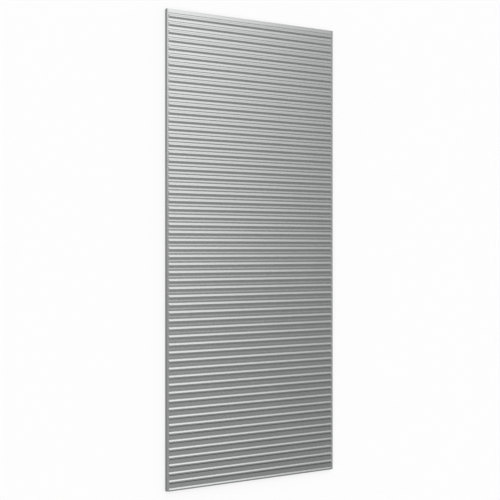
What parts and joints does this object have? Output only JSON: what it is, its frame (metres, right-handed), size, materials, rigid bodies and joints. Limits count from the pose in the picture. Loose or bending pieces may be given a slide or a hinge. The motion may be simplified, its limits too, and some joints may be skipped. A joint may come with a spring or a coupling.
{
  "type": "ribbed aluminium panel",
  "caption": "Long flat panel pressed from aluminium sheet, with close ribs across its face, low crowns between them, plain margins, and long sides folded back as shallow returns.",
  "frame": {"origin": "under the middle of the panel, on the plane of the free edges of the two side returns", "axes": "+Z out of the ribbed face, +Y along the panel towards the end that starts with a flat land, +X along the ribs"},
  "size_m": [1.2, 3, 0.0295],
  "materials": {
    "sheet": "plain mill finish, satin, no coating"
  },
  "bodies": {
    "root": {"panel": "sheet"}
  },
  "joints": []
}
